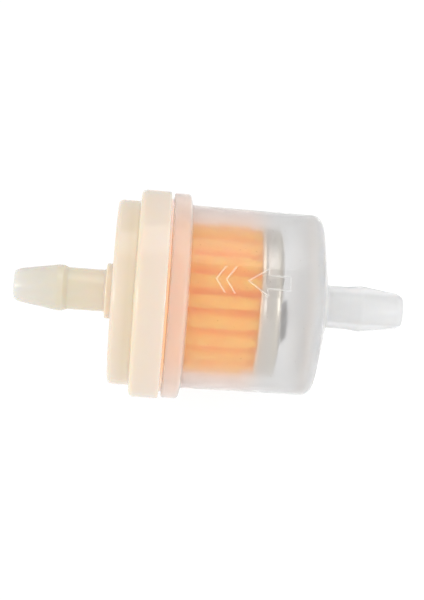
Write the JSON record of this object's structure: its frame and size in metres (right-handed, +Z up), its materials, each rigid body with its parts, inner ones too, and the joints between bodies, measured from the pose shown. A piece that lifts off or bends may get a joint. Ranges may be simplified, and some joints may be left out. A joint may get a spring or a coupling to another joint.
{
  "type": "fuel filter",
  "caption": "Inline fuel filter: welded plastic cap and milky bowl with a barbed hose spigot at each end, round a pleated paper element with a metal end cap and a trap magnet.",
  "frame": {"origin": "on the filter's axis, halfway between the tips of the two spigots", "axes": "+X along the axis towards the tip of the inlet spigot, +Z up, the moulded flow arrow on the -Y side above the horizontal"},
  "size_m": [0.0842, 0.045, 0.045],
  "materials": {
    "cream_plastic": "cream moulded polypropylene, slightly translucent, soft gloss",
    "milky_plastic": "natural milky polypropylene, translucent, soft gloss",
    "weld_plastic": "remelted seam, translucent",
    "filter_paper": "resin treated pleated filter paper, orange yellow, matte",
    "tinplate": "thin drawn tinplate, bright",
    "adhesive": "amber potting adhesive",
    "ferrite": "dark grey sintered magnet"
  },
  "bodies": {
    "root": {"cap": "cream_plastic", "bowl": "milky_plastic", "weld_seam": "weld_plastic", "pleated_paper": "filter_paper", "seam_clip": "tinplate", "core_tube": "tinplate", "end_cap": "tinplate", "end_cap_potting": "adhesive", "seat_potting": "adhesive", "magnet": "ferrite"}
  },
  "joints": []
}
